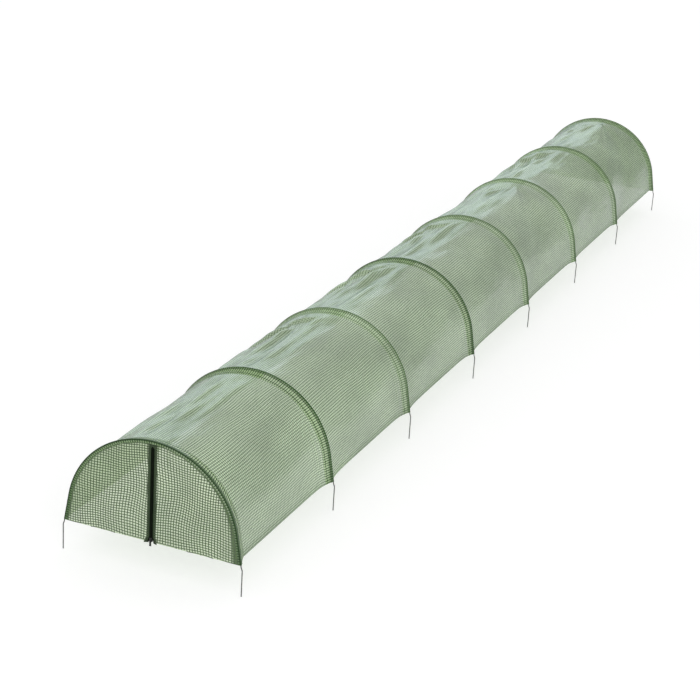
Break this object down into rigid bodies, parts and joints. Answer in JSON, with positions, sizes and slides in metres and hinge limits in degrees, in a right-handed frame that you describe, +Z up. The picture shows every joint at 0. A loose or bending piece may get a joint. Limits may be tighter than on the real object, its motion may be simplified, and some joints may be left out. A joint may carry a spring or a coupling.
{
  "type": "low polytunnel cloche",
  "caption": "Low grow tunnel of reinforced green film on wire hoops with ground spikes, closed by a zipped panel at each end.",
  "frame": {"origin": "on the ground, under the middle of the tunnel", "axes": "+X to the right across the tunnel, +Y along it from the front zipped end to the back, +Z up"},
  "size_m": [0.6648, 5.0216, 0.4679],
  "materials": {
    "galvanised_wire": "galvanised, dull",
    "sleeve_film": "doubled film, satin",
    "cover_film": "reinforced film, satin",
    "zip_tape": "woven",
    "zip_teeth": "moulded",
    "zip_metal": "black enamel"
  },
  "bodies": {
    "tunnel": {"hoop_1": "galvanised_wire", "hoop_2": "galvanised_wire", "hoop_3": "galvanised_wire", "hoop_4": "galvanised_wire", "hoop_5": "galvanised_wire", "hoop_6": "galvanised_wire", "hoop_7": "galvanised_wire", "hoop_8": "galvanised_wire", "hoop_sleeve_1": "sleeve_film", "hoop_sleeve_2": "sleeve_film", "hoop_sleeve_3": "sleeve_film", "hoop_sleeve_4": "sleeve_film", "hoop_sleeve_5": "sleeve_film", "hoop_sleeve_6": "sleeve_film", "hoop_sleeve_7": "sleeve_film", "hoop_sleeve_8": "sleeve_film", "film_bay_1": "cover_film", "film_bay_2": "cover_film", "film_bay_3": "cover_film", "film_bay_4": "cover_film", "film_bay_5": "cover_film", "film_bay_6": "cover_film", "film_bay_7": "cover_film", "left_hem": "cover_film", "right_hem": "cover_film", "front_panel_left": "cover_film", "front_panel_right": "cover_film", "back_panel_left": "cover_film", "back_panel_right": "cover_film", "front_zip_tape_left": "zip_tape", "front_zip_tape_right": "zip_tape", "back_zip_tape_left": "zip_tape", "back_zip_tape_right": "zip_tape", "front_zip_chain": "zip_teeth", "back_zip_chain": "zip_teeth", "back_zip_slider": "zip_metal", "back_zip_puller": "zip_metal"},
    "zip_slider": {"front_zip_slider": "zip_metal"},
    "zip_puller": {"front_zip_puller": "zip_metal"}
  },
  "joints": [
    {"name": "front_zip_slide", "type": "slide", "parent": "tunnel", "child": "zip_slider", "axis": [0, 0, 1], "range_m": [0, 0.319], "deforming": ["front_zip_chain"]},
    {"name": "front_puller_swing", "type": "hinge", "parent": "zip_slider", "child": "zip_puller", "pos_m": [0, -2.50835, 0.11833], "axis": [-1, 0, 0], "range_deg": [0, 150]}
  ]
}
